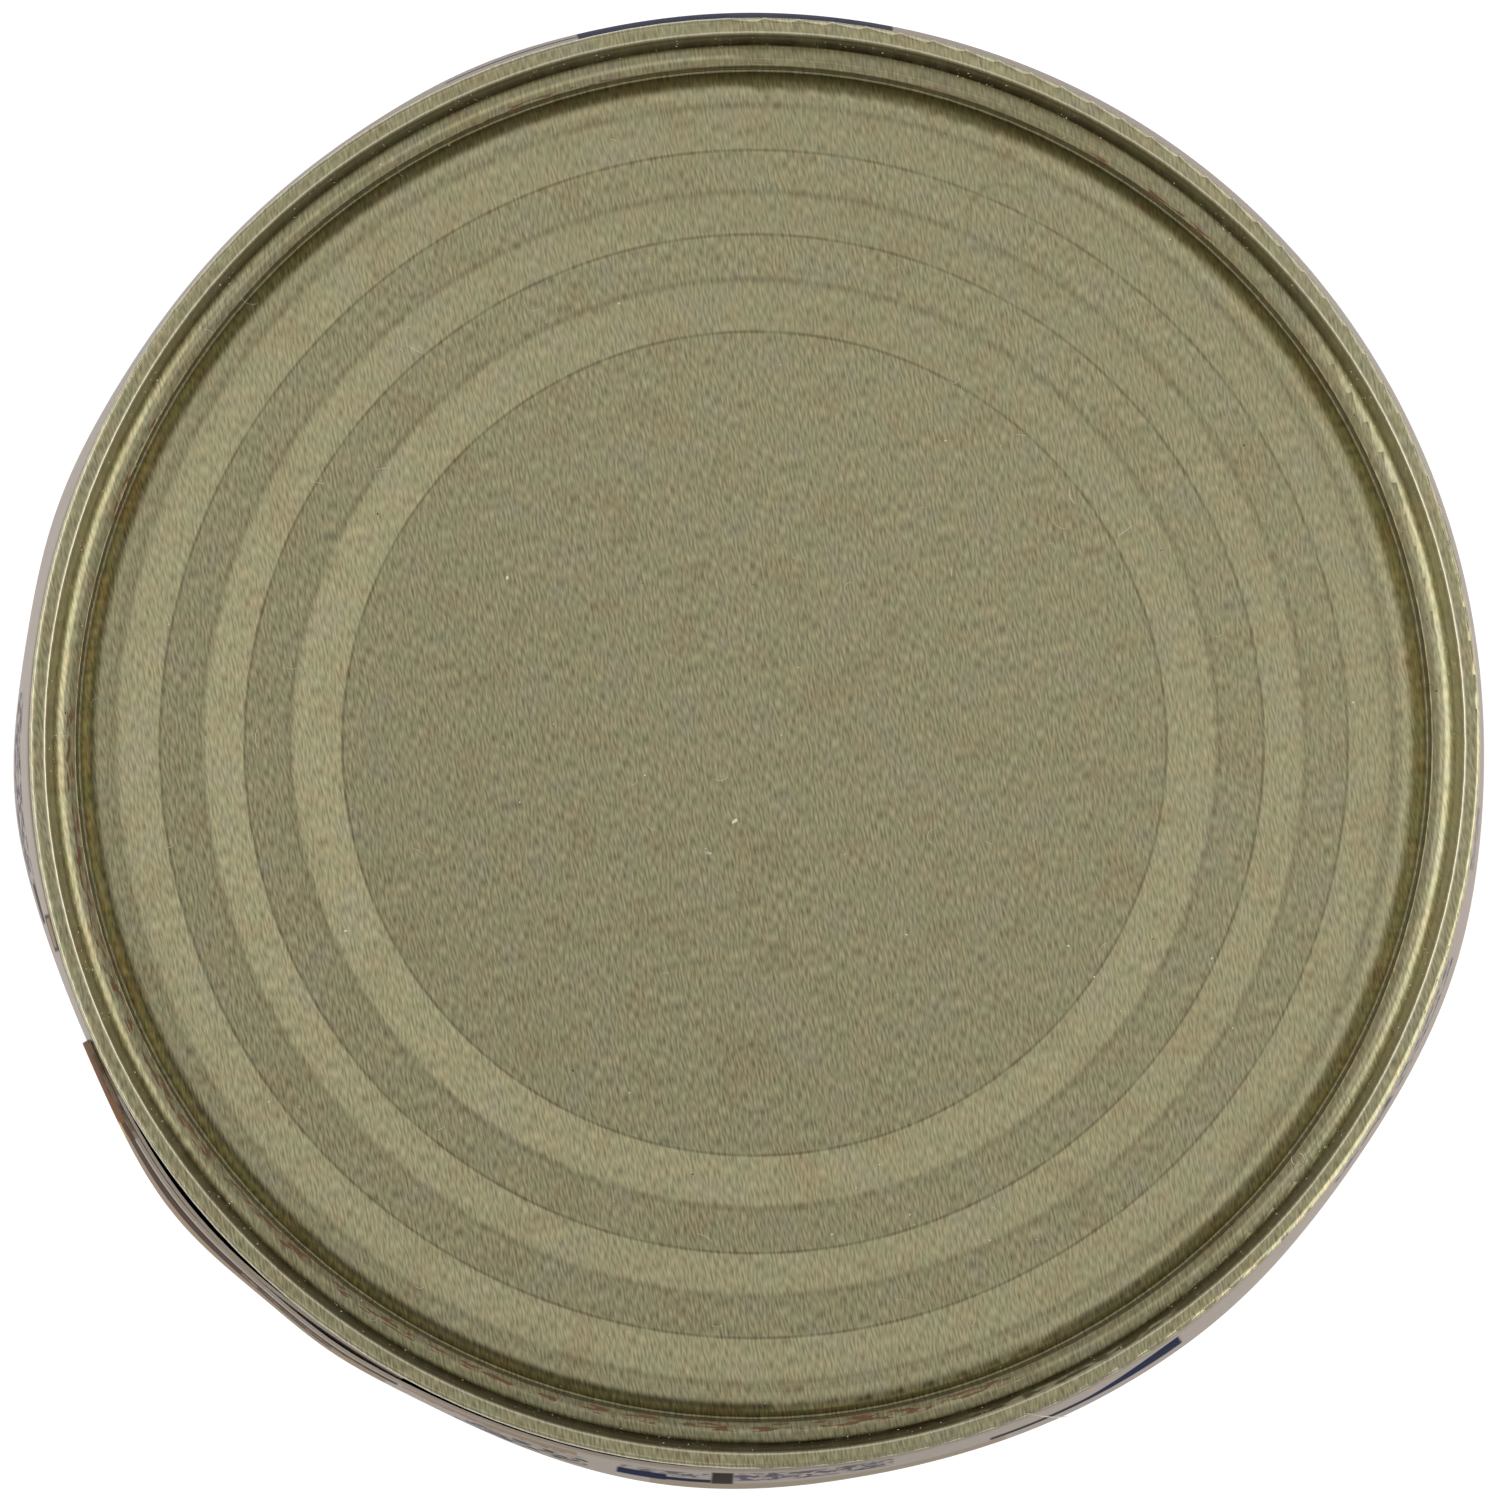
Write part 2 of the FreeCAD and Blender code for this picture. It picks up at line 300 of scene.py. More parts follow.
# Radii of an end, in millimetres
RING_EDGES = (20.66, 25.56, 29.82)      # crisp upper edges of the risers
RING_FEET = (23.3, 27.7, 32.1)          # their soft feet
PANEL_END = 32.4
GROOVE_GRIME_AND_SHADE = (33.65, 34.4)                    # grime and painted shade, from the countersink groove out over the ledge
LEDGE_RUST = (33.97, 34.2)
RUST_SPOTS = (54, 108, 155)             # azimuths of its thickest stretches
RUST_SPOT_HALF = 6
LOWER_RUST = (34.1, 34.5)               # where the ledge has rusted most, and its azimuths
LOWER_RUST_AZIMUTH = 235
LOWER_RUST_HALF = 58
WALL_GRIME_AND_SHADE = (35.02, 35.47)             # grime and painted shade on the chuck wall, from near its foot to the lip
WALL_GRIME_AND_SHADE_THICK = 0.88
WALL_GRIME_AND_SHADE_THIN = 0.7                   # how much less there is where the wall faces along X
LIP = (35.44, 35.6)                     # of the seam, rubbed bare
SHOULDER = (36.1, 36.4)
SCUFF = 35.33                           # where the seaming chuck rubbed the wall
SCUFF_WHITE = (35.25, 35.5)             # the part of it that still shows white, and where
SCUFF_AZIMUTH = 297
SCUFF_HALF = 9
STROKES = (1.1, 7.0)                    # noise per millimetre along the rim and across it
STROKE_RADIUS = 29.82                   # radius that the first of them is true at
# Painted light and shade on the rim's bands, changing round the tin: radii, level, and its gains
# along X and along Y
RIM_PAINTED_SHADING = ((32.6, 33.35, 0.0, 0.18, 0.1), (33.35, 33.8, 0.3, -0.2, -0.45))
RIM_PAINTED_SHADING_SOFT = 0.15
WATER_STAINS = ((-17.4, 24.1), (0.1, -16.8), (12.4, 26.4))      # X and Y of each ring
STAIN_RADIUS = 1.7 * MM
STAIN_WIDTH = 0.2 * MM


def round_strokes(shade, heading, radius):
    """Noise in short strokes that run round the axis."""
    along, across = STROKES
    x, y, _ = shade.split(heading)
    reach = along * STROKE_RADIUS
    space = shade.join(shade.times(x, reach), shade.times(y, reach),
                       shade.times(radius, across))
    return shade.noise(space, 1.0, 1.0, 0.6, dimensions="3D")


def metal_tone(shade, point):
    """Mottled olive lacquer over fine straight grain: its colour, the grain, the mottling."""
    grain = shade.noise(shade.turned(point, GRAIN_TILT, GRAIN_SCALE), 1.0, 0.0, 0.5)
    mottle = shade.noise(point, MOTTLE_SCALE, 2.0, 0.62)
    stain = shade.noise(shade.turned(point, STAIN_TILT, STAIN_SCALE), 1.0, 1.0, 0.6)
    colour = shade.mix(shade.ramp(mottle, 0.36, 0.64), GREEN_OLIVE, BEIGE_OLIVE)
    colour = shade.mix(shade.ramp(stain, 0.56, 0.72, 0.0, 0.28), colour, LILAC_GREY)
    colour = shade.mix(shade.ramp(stain, 0.28, 0.42, 0.2, 0.0), colour, RED_BROWN)
    # Painted light: the lacquer's tone grows towards one azimuth, in place of the lighting's
    # fall-off across the end
    painted_light_gradient = shade.vector("DOT_PRODUCT", point, on_circle(PAINTED_LIGHT_GAIN, PAINTED_LIGHT_AZIMUTH, 0))
    level = shade.add(TONE, painted_light_gradient, shade.times(grain, GRAIN_TONE),
                      shade.times(stain, STAIN_TONE))
    return shade.tint(colour, level), grain, mottle


def rim_painted_shading(shade, radius, heading):
    """Painted light and shade where the panel turns down, brighter or darker round the tin."""
    tone = 1.0
    for low, high, gain, along_x, along_y in RIM_PAINTED_SHADING:
        change = shade.add(shade.vector("DOT_PRODUCT", heading, (along_x, along_y, 0)), gain)
        band = shade.band(radius, low, high, RIM_PAINTED_SHADING_SOFT)
        tone = shade.add(tone, shade.times(band, change))
    return tone


def ring_painted_shade(shade, radius, patchy):
    """Painted shade: thin dark lines at the risers' crisp edges and soft ones at their feet."""
    lines = shade.ramp(shade.nearest(radius, RING_EDGES), 0.03, 0.12, 0.36, 0.0)
    feet = shade.ramp(shade.nearest(radius, RING_FEET), 0.0, 0.3, 0.28, 0.0)
    return shade.times(shade.either(lines, feet), shade.ramp(patchy, 0.3, 0.6, 0.6, 1.0))


def water_stains(shade, point):
    """Faint rings that drops of water left."""
    rings = [shade.nearest(shade.vector("DISTANCE", point, (x * MM, y * MM, 0)), [STAIN_RADIUS])
             for x, y in WATER_STAINS]
    return shade.ramp(shade.least(*rings), 0.0, STAIN_WIDTH, 0.14, 0.0)


def wall_grime_and_shade(shade, radius, heading, patchy):
    """Dark grime and painted shade on the chuck wall, thickest where the wall faces along Y, away
    from the lamps.
    """
    x = shade.split(heading)[0]
    thick = shade.add(WALL_GRIME_AND_SHADE_THICK, shade.times(x, x, -WALL_GRIME_AND_SHADE_THIN))
    wall = shade.band(radius, *WALL_GRIME_AND_SHADE, 0.05)
    rubbed = shade.ramp(shade.nearest(radius, [SCUFF]), 0.0, 0.09, 0.55, 1.0)
    return shade.times(wall, thick, rubbed, shade.ramp(patchy, 0.3, 0.6, 0.75, 1.1))


def ledge_rust(shade, radius, heading, strokes):
    """Rust along the inner side of the ledge, in broken strokes."""
    spots = [shade.towards(heading, azimuth, RUST_SPOT_HALF) for azimuth in RUST_SPOTS]
    spots = shade.either(0.35, *spots)
    lower = shade.towards(heading, LOWER_RUST_AZIMUTH, LOWER_RUST_HALF)
    rust = shade.either(shade.times(spots, shade.band(radius, *LEDGE_RUST, 0.04)),
                        shade.times(lower, shade.band(radius, *LOWER_RUST, 0.04)))
    return shade.times(rust, shade.ramp(strokes, 0.53, 0.58), 0.8)


def panel_shader(shade, point, radius, colour, grain, mottle, normal):
    """The ringed panel: painted shade in lines along the rings, and dried drops."""
    # Painted shade at the rings' edges and feet, joined with the water stains
    dirt_and_shade = shade.either(ring_painted_shade(shade, radius, mottle), water_stains(shade, point))
    # Multiplies in the painted shade and the water stains
    colour = shade.mix(dirt_and_shade, colour, GRIME_AND_SHADE, "MULTIPLY")
    rough = shade.add(METAL_ROUGH, shade.times(grain, GRAIN_ROUGH))
    return shade.principled(colour, rough, 1.0, normal)


def rim_shader(shade, point, radius, colour, grain, mottle, normal):
    """From the panel's edge to the seam: painted light and shade where the panel turns down, grime
    and painted shade in the groove and on the wall, rusty ledge and seam rubbed bare.
    """
    heading = shade.vector("NORMALIZE", point)
    # Painted light and shade, by azimuth, where the panel turns down
    colour = shade.tint(colour, rim_painted_shading(shade, radius, heading))
    strokes = round_strokes(shade, heading, radius)
    # Grime and painted shade from the countersink groove out over the ledge
    dull = shade.times(shade.band(radius, *GROOVE_GRIME_AND_SHADE, 0.12), 0.35)
    # Grime and painted shade on the chuck wall, joined with those of the groove
    dirt_and_shade = shade.either(dull, wall_grime_and_shade(shade, radius, heading, mottle))
    # Multiplies in the grime and painted shade
    colour = shade.mix(dirt_and_shade, colour, GRIME_AND_SHADE, "MULTIPLY")
    shoulder = shade.band(radius, *SHOULDER, 0.05)
    bare = shade.either(shade.times(shade.band(radius, *LIP, 0.04), 0.8),
                        shade.times(shoulder, 0.2))
    colour = shade.mix(shade.times(bare, shade.ramp(grain, 0.3, 0.6, 0.75, 1.0)), colour, BARE)
    rust = ledge_rust(shade, radius, heading, strokes)
    colour = shade.mix(rust, colour, RUST)
    scuff = shade.times(shade.towards(heading, SCUFF_AZIMUTH, SCUFF_HALF),
                        shade.ramp(strokes, 0.4, 0.6),
                        shade.band(radius, *SCUFF_WHITE, 0.05), 0.55)
    colour = shade.mix(scuff, colour, DUST)
    covered = shade.either(rust, scuff)
    rough = shade.add(METAL_ROUGH, shade.times(grain, GRAIN_ROUGH),
                      shade.times(covered, 0.4), shade.times(shoulder, -0.1))
    metal = shade.add(1.0, shade.times(covered, -0.85))
    return shade.principled(colour, rough, metal, normal)


def make_tinplate(name):
    """Brushed, lacquered tinplate: straight grain, mottled tone with a painted light gradient,
    rings with painted shade, grime and wear.

    Panel and rim have a shader each, so that no place pays for the marks of the other.
    """
    shade = new_shade(name, "2D")
    x, y, _ = shade.split(shade.place())
    point = shade.join(x, y, 0.0)
    radius = shade.times(shade.vector("LENGTH", point), 1 / MM)
    colour, grain, mottle = metal_tone(shade, point)
    shared = (shade, point, radius, colour, grain, mottle, shade.bump(grain, GRAIN_DEPTH, 0.7))
    panel = panel_shader(*shared)
    rim = rim_shader(*shared)
    outside = shade.math("GREATER_THAN", radius, PANEL_END)
    return shade.close(shade.mix_shader(outside, panel, rim), "ShaderNodeOutputMaterial")


def make_body_steel():
    """The plain satin wall of the tin, seen at its necks."""
    shade = new_shade("body_steel_look")
    point = shade.place()
    mottle = shade.noise(point, 300, 3.0, 0.6)
    colour = shade.mix(mottle, *WALL_STEEL)
    rough = shade.add(0.32, shade.times(mottle, 0.12))
    return shade.surface(colour, rough, 1.0, shade.bump(mottle, 0.01 * MM, 0.4))


# ---- The label ----

# The sheet is formed as its solid is, save that the upper edge of the lap stands closer in
# and that the end under the lap swells too.
BODY_RADIUS = 36.4 * MM
PAPER = 0.15 * MM
CLEARANCE = 0.08 * MM           # between the body and the paper at its tightest
TUCK = 0.25 * MM                # how far the paper's edges lean in
TURN_HEIGHT = 2.6 * MM          # height over which they do
SLACK_HEIGHT = 14 * MM          # height of the loose part next to each edge
WAVE = 0.8 * MM                 # how far a full swell stands off
LAP_START = 204.0               # azimuth of the strip's outer end
LAP_ANGLE = 37.0                # degrees that it laps over the other end
LAP_END = LAP_START + LAP_ANGLE
LAP_GAP = 0.08 * MM
# Where the loose paper stands off the body: azimuth, half width in degrees, share
SWELLS = [(20, 75, 0.24), (60, 34, 0.2), (95, 14, 0.16), (112, 9, 0.24), (162, 10, 0.45),
          (184, 11, 0.78), (219, 11, 0.28), (264, 16, 0.9), (297, 22, 0.68),
          (311, 9, 0.15), (342, 12, 0.43)]
LAP_SWELLS = [(219, 9, 0.55), (235, 6, 0.35)]       # of the outer end alone
COVERED_SWELLS = [(220, 11, 0.4)]                   # of the end under it
# Share of the swells at the edge, at the edge of the lap, past the slack and at half height
EDGE_LOOSENESS = 0.12
LAP_EDGE_LOOSENESS = 0.65
SLACK_LOOSENESS = 0.8
MIDDLE_LOOSENESS = 0.25
LABEL_COLUMNS = 794
LABEL_ROWS_TURN = 10
LABEL_ROWS_SLACK = 10
LABEL_ROWS_MIDDLE = 12
LABEL_MARGIN = 0.02 * MM        # how far the sheet keeps inside its solid
LABEL_LOW = 3.0                 # heights of the label's edges, in millimetres
LABEL_TOP = 107.0


def swell(swells, azimuth):
    """How far the loose paper stands off at an azimuth, from 0 to about 1."""
    total = 0.0
    for middle, half_width, share in swells:
        away = (azimuth - middle + 180) % 360 - 180
        total += share * math.exp(-(away / half_width) ** 2)
    return total


def label_levels(low, high):
    """Heights of the label's rows, each with its lean inward and its looseness.

    The looseness comes three times: for the whole label, for the swells of its outer end,
    and for those of the end that this covers.
    """
    lower = []
    for row in range(LABEL_ROWS_TURN):
        share = row / LABEL_ROWS_TURN
        lower.append((TURN_HEIGHT * share, TUCK * (1 - share) ** 2,
                      EDGE_LOOSENESS + (1 - EDGE_LOOSENESS) * share,
                      LAP_EDGE_LOOSENESS + (1 - LAP_EDGE_LOOSENESS) * share, 1.0))
    for row in range(LABEL_ROWS_SLACK):
        share = row / LABEL_ROWS_SLACK
        loose = 1 + (SLACK_LOOSENESS - 1) * share
        lower.append((TURN_HEIGHT + (SLACK_HEIGHT - TURN_HEIGHT) * share, 0.0) + (loose,) * 3)
    half = (high - low) / 2
    for row in range(LABEL_ROWS_MIDDLE):
        share = row / LABEL_ROWS_MIDDLE
        loose = SLACK_LOOSENESS + (MIDDLE_LOOSENESS - SLACK_LOOSENESS) * share
        lower.append((SLACK_HEIGHT + (half - SLACK_HEIGHT) * share, 0.0) + (loose,) * 3)
    middle = [(half, 0.0) + (MIDDLE_LOOSENESS,) * 3]
    upper = [(high - low - rise, *others) for rise, *others in reversed(lower)]
    return [(low + rise, *others) for rise, *others in lower + middle + upper]


def label_radius(turned, lean, loose, lap_loose, covered_loose):
    """Radius of the label's inner face at an angle turned from its covered end."""
    azimuth = LAP_END - turned
    climb = min(1.0, max(0.0, 1 + (turned - 360) / LAP_ANGLE))
    wave = loose * swell(SWELLS, azimuth) + climb * lap_loose * swell(LAP_SWELLS, azimuth)
    if turned < LAP_ANGLE:
        wave += covered_loose * swell(COVERED_SWELLS, azimuth)
    return BODY_RADIUS + CLEARANCE - lean + WAVE * wave + (PAPER + LAP_GAP) * climb


def make_label(printed_paper, back):
    """The lapped sheet, printed on its outer side and coloured alike on its long edges."""
    low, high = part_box("label")
    levels = label_levels(low.z, high.z)
    rows = len(levels)
    points = []
    places = []
    for depth in (PAPER, 0.0):
        for column in range(LABEL_COLUMNS + 1):
            turned = (360 + LAP_ANGLE) * column / LABEL_COLUMNS
            for height, *shape in levels:
                radius = label_radius(turned, *shape) + depth - LABEL_MARGIN
                points.append(on_circle(radius, LAP_END - turned, height))
                places.append((turned, height / MM))
    side = (LABEL_COLUMNS + 1) * rows

    def at(face, column, row):
        return face * side + column * rows + row

    faces = []
    for column in range(LABEL_COLUMNS):
        for row in range(rows - 1):
            corners = ((column, row), (column, row + 1), (column + 1, row + 1), (column + 1, row))
            faces.append([at(0, *corner) for corner in corners])
            faces.append([at(1, *corner) for corner in reversed(corners)])
    sides = len(faces)
    for column in range(LABEL_COLUMNS):
        for row, order in ((0, 1), (rows - 1, -1)):
            edge = [at(0, column, row), at(0, column + 1, row),
                    at(1, column + 1, row), at(1, column, row)]
            faces.append(edge[::order])
    edges = len(faces)
    for row in range(rows - 1):
        for column, order in ((0, -1), (LABEL_COLUMNS, 1)):
            edge = [at(0, column, row), at(0, column, row + 1),
                    at(1, column, row + 1), at(1, column, row)]
            faces.append(edge[::order])
    label = tin_piece("label_paper_sheet", points, faces, printed_paper)
    label.data.materials.append(back)
    for index, polygon in enumerate(label.data.polygons):
        printed = index % 2 == 0 if index < sides else index < edges
        polygon.material_index = 0 if printed else 1
        polygon.use_smooth = index < sides
    layer = label.data.uv_layers.new(name="strip")
    for loop in label.data.loops:
        layer.data[loop.index].uv = places[loop.vertex_index]
    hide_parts("label")


# Painted shade: the white paper's colour as it looks in shade, a pale lilac
PAPER_WHITE_IN_PAINTED_SHADE = linear(181, 171, 163)
NAVY = linear(22, 32, 64)
FADED_NAVY = linear(84, 82, 98)
BROWN = linear(66, 50, 40)
ORANGE_BROWN = linear(112, 76, 44)
TAN = linear(158, 138, 116)
BEIGE_PAPER = linear(164, 150, 128)
INK = linear(32, 25, 23)
CHICKPEA = linear(196, 168, 118)
PAPER_WHITE = linear(206, 200, 198)
PAPER_TONE = (0.9, 0.2)         # level of the paper's tone, and how much its mottling adds
PAPER_GRAIN = 0.03 * MM
PAPER_SHINE = 0.03
# Fields of the print's plain design: colour, azimuths, heights in millimetres, softness
FIELDS = (
    (NAVY, 79, 104, 42, 110, 0.12),
    (TAN, 112, 186, 30, 96, 0.2),
    (NAVY, 116, 182, 78, 92, 0.2),
    (TAN, 122, 176, 83, 86.5, 0.15),
    (NAVY, 292, 346, 26, 84, 0.2),
    (BEIGE_PAPER, 295, 343, 29, 81, 0.2),
    (TAN, 8, 66, 34, 70, 0.2),
    (NAVY, 8, 66, 70, 88, 0.2),
)
FIELD_INK = 0.96
# Panels of round discs that stand for chickpeas: azimuths and heights
DISC_PANELS = ((118, 180, 35, 77), (12, 62, 35, 70))
DISC_SPACING = 7.0
# Plain bars on the back panel: heights, thickness, and azimuths of their ends
BARS = range(34, 75, 5)
BAR_THICK = 1.1
BAR_ENDS = (299, 339)
# Marks along the upper edge: colour, strength, azimuths, depths below the edge, broken.
# None reaches across LAP_START or up to LAP_END, because the strip's count of degrees jumps.
EDGE_MARKS = (
    (NAVY, 0.85, 104, 115, 0.9, 1.2, False),
    (FADED_NAVY, 0.8, 176, 191, 1.1, 2.3, True),
    (INK, 0.8, 191.0, 194.2, 1.2, 1.9, False),
    (INK, 0.85, 193.6, 196.6, -0.2, 0.95, False),
    (TAN, 1.0, 193.9, 196.3, 0.16, 0.78, False),
    (ORANGE_BROWN, 1.0, 204, 212.6, 0.0, 4.4, False),
    (INK, 0.9, 204, 212, -0.2, 0.16, False),
    (BROWN, 0.9, 204, 209, 0.0, 0.7, True),
    (CHICKPEA, 0.9, 210.8, 213.2, 1.6, 3.0, False),
    (TAN, 0.9, 212, 240, 0.9, 5.0, False),
    (BROWN, 0.95, 211, 235, 0.3, 1.3, False),
    (BROWN, 0.95, 234.5, 240.9, 0.3, 0.8, False),
    (INK, 0.9, 211.4, 240.9, 0.28, 0.44, False),
    (TAN, 0.8, 226, 238, 0.55, 1.1, True),
    (TAN, 1.0, 241.3, 256.0, 0.16, 0.62, False),
    (INK, 0.6, 243, 256.5, 0.62, 0.8, True),
    (INK, 0.8, 247, 257, 1.0, 2.1, True),
    (FADED_NAVY, 0.8, 246, 252, 1.5, 2.3, True),
    (BEIGE_PAPER, 0.8, 262, 290, 1.6, 4.0, False),
    (FADED_NAVY, 0.8, 259.5, 266.6, 0.4, 1.0, True),
    (NAVY, 1.0, 259.3, 263.2, 0.85, 1.7, False),
    (NAVY, 1.0, 262.8, 266.7, 1.15, 1.6, False),
    (INK, 0.95, 266.7, 268.4, 0.2, 1.7, False),
    (FADED_NAVY, 0.9, 268.4, 281, 0.2, 1.2, True),
    (INK, 0.95, 288.8, 298, 1.15, 1.55, False),
    (NAVY, 0.95, 297, 305.6, 1.2, 1.6, False),
    (FADED_NAVY, 0.85, 323, 332, 0.5, 0.9, True),
    (FADED_NAVY, 0.85, 329, 343, 0.3, 0.6, True),
    (FADED_NAVY, 0.85, 329, 343, 0.8, 1.15, True),
    (FADED_NAVY, 0.6, 350, 355, 0.3, 1.2, True),
)
# Marks of the same kind on the end of the paper that the lap covers
COVERED_MARKS = (
    (ORANGE_BROWN, 1.0, 204.2, 209, -0.2, 3.4, False),
    (BROWN, 0.8, 209, 241, 1.3, 4.0, False),
)
MARK_SOFT = (0.15, 0.08)        # softness of a mark's ends in degrees and of its sides in mm
# A navy wedge, thin at its first end: azimuths, depths of its upper side at both ends, and
# depths over which its lower side fades
WEDGE = (293.6, 305.6)
WEDGE_DEPTHS = (1.35, 0.35)
WEDGE_BOTTOM = (1.5, 1.7)
EDGE_FRAY = 0.35                # width of the worn strip along the label's edges


def strip_place(azimuth):
    """Degrees along the strip of an azimuth, on its outer end where the two ends lap."""
    turned = (LAP_END - azimuth) % 360
    return turned + 360 if LAP_START <= azimuth % 360 < LAP_END else turned


def printed_field(shade, turned, start, end, soft):
    """1 between two azimuths of the strip."""
    return shade.band(turned, strip_place(end), strip_place(start), soft)


def print_discs(shade, turned, height):
    """Rows of plain round discs, each second row set off by half a space."""
    row = shade.times(height, 1 / DISC_SPACING)
    odd = shade.math("FLOORED_MODULO", shade.math("FLOOR", row), 2.0)
    along = shade.times(turned, BODY_RADIUS / MM * math.pi / 180 / DISC_SPACING)
    x = shade.add(shade.math("FRACT", shade.add(along, shade.times(odd, 0.5))), -0.5)
    y = shade.add(shade.math("FRACT", row), -0.5)
    away = shade.math("SQRT", shade.add(shade.times(x, x), shade.times(y, y)))
    return shade.ramp(away, 0.36, 0.4, 1.0, 0.0), shade.ramp(away, 0.0, 0.4, 1.1, 0.75)


def edge_marks(shade, colour, turned, depth, broken):
    """The small marks that show along the label's upper edge."""
    ends, sides = MARK_SOFT
    marks = [(mark, printed_field(shade, turned, *mark[2:4], ends)) for mark in EDGE_MARKS]
    marks += [(mark, shade.band(turned, LAP_END - mark[3], LAP_END - mark[2], ends))
              for mark in COVERED_MARKS]
    for (ink, strength, _, _, near, far, is_broken), field in marks:
        mark = shade.times(field, shade.band(depth, near, far, sides), strength)
        if is_broken:
            mark = shade.times(mark, broken)
        colour = shade.mix(mark, colour, ink)
    start, end = WEDGE
    upper = shade.ramp(turned, strip_place(end), strip_place(start), *reversed(WEDGE_DEPTHS))
    wedge = shade.times(printed_field(shade, turned, start, end, ends),
                        shade.ramp(shade.math("SUBTRACT", depth, upper), -0.06, 0.06),
                        shade.ramp(depth, *WEDGE_BOTTOM, 1.0, 0.0))
    return shade.mix(wedge, colour, NAVY)


def paper_tone(shade, colour, mottle):
    level, gain = PAPER_TONE
    return shade.tint(colour, shade.add(level, shade.times(mottle, gain)))


def make_label_print():
    """Coated white paper, given a pale lilac colour of painted shade, printed with navy and tan
    fields, discs and bars.
    """
    shade = new_shade("label_print_look")
    strip = shade.node("ShaderNodeUVMap", uv_map="strip").outputs[0]
    turned, height, _ = shade.split(strip)
    point = shade.place()
    mottle = shade.noise(point, 700, 3.0, 0.6)
    strokes = shade.noise(shade.join(shade.times(turned, 0.9), shade.times(height, 4.0), 0.0),
                          1.0, 3.0, 0.6, 0.5)
    broken = shade.ramp(strokes, 0.42, 0.56)
    colour = paper_tone(shade, PAPER_WHITE_IN_PAINTED_SHADE, mottle)
    for ink, start, end, low, high, soft in FIELDS:
        field = shade.times(printed_field(shade, turned, start, end, soft),
                            shade.band(height, low, high, soft))
        colour = shade.mix(shade.times(field, FIELD_INK), colour, ink)
    disc, tone = print_discs(shade, turned, height)
    panels = shade.either(*[shade.times(printed_field(shade, turned, start, end, 0.2),
                                        shade.band(height, low, high, 0.1))
                            for start, end, low, high in DISC_PANELS])
    colour = shade.mix(shade.times(disc, panels), colour, shade.tint(CHICKPEA, tone))
    bars = shade.either(*[shade.band(height, bar, bar + BAR_THICK, 0.1) for bar in BARS])
    bars = shade.times(bars, printed_field(shade, turned, *BAR_ENDS, 0.2))
    colour = shade.mix(shade.times(bars, 0.8), colour, FADED_NAVY)
    depth = shade.math("SUBTRACT", LABEL_TOP, height)
    colour = edge_marks(shade, colour, turned, depth, broken)
    fray = shade.either(shade.ramp(depth, 0.0, EDGE_FRAY, 1.0, 0.0),
                        shade.ramp(height, LABEL_LOW, LABEL_LOW + EDGE_FRAY, 1.0, 0.0))
    fray = shade.times(fray, shade.ramp(mottle, 0.35, 0.6, 0.1, 0.5))
    colour = shade.mix(fray, colour, BEIGE_PAPER)
    rough = shade.add(0.5, shade.times(mottle, 0.16), shade.times(fray, 0.2))
    normal = shade.bump(mottle, PAPER_GRAIN, 0.5)
    return shade.surface(colour, rough, 0.0, normal, Specular_IOR_Level=PAPER_SHINE)


def make_paper_back():
    """The unprinted side of the paper, which also shows at the cut ends of the strip."""
    shade = new_shade("paper_back_look")
    mottle = shade.noise(shade.place(), 900, 3.0, 0.6)
    colour = paper_tone(shade, PAPER_WHITE, mottle)
    normal = shade.bump(mottle, PAPER_GRAIN, 0.5)
    return shade.surface(colour, 0.7, 0.0, normal, Specular_IOR_Level=PAPER_SHINE)


# ---- Dust and lint ----

PALE_DUST = (linear(226, 220, 196), linear(170, 150, 104))
DARK_GRIT = (linear(74, 56, 40), linear(52, 42, 34))
FIBRE = (linear(222, 218, 204), linear(198, 190, 164))
DROP_FROM = 0.2                 # height that things are dropped from onto the end
# A chip: corners, how unevenly they stand, and its sizes as shares of its length
CHIP_CORNERS = 7
CORNER_SHIFT = 0.25
CORNER_REACH = (0.75, 1.1)
CHIP_WIDTH = (0.35, 0.8)
CHIP_THICK = (0.15, 0.3)
CHIP_SUNK = 1 / 4               # share of its thickness that lies in the surface
SPECK_LENGTH = (0.035, 0.11)    # the least, and how much the longest has more, in millimetres
STRAND_SIDES = 5
STRAND_STEP = 0.09 * MM
STRAND_TIP = 0.5                # thickness of its two ends as a share
STRAND_LIFT = 0.7               # height of its middle over what it lies on, as a share
FIBRE_THICK = (0.006, 0.012)    # in millimetres
FIBRE_BEND = 22                 # degrees that a fibre turns at most at a step
FIBRE_STEPS = (4, 12)
# Specks and fibres by zone: count, inner and outer radius in millimetres
SPECK_ZONES = ((330, 0.0, 33.2), (110, 33.6, 34.9), (1100, 34.95, 35.42))
DARK_ZONES = ((16, 0.0, 33.2), (30, 33.6, 34.9))
FIBRE_ZONES = ((70, 0.0, 33.0), (16, 34.0, 34.9))
# Larger chips that stand out: X, Y, length and heading, in millimetres and degrees
CHIPS = ((-1.0, -3.9, 0.36, 40), (-2.3, -5.5, 0.34, -18), (2.2, 3.8, 0.16, 0), (30.1, 2.1, 0.2, 10),
         (-12.4, 8.3, 0.22, 70), (9.6, 15.2, 0.18, 25), (18.3, -11.7, 0.24, -40),
         (-20.5, -9.4, 0.2, 15), (5.2, -19.6, 0.26, 60), (-6.8, 22.1, 0.2, -35))
DARK_CHIPS = ((-18.9, 11.5, 0.16, 80), (20.4, 9.7, 0.14, 20), (20.0, -9.8, 0.14, 60),
              (-9.1, -16.4, 0.16, 120), (-3.1, -21.6, 0.12, 40), (24.6, 15.0, 0.12, 0))
LINT_THICK = 0.024 * MM
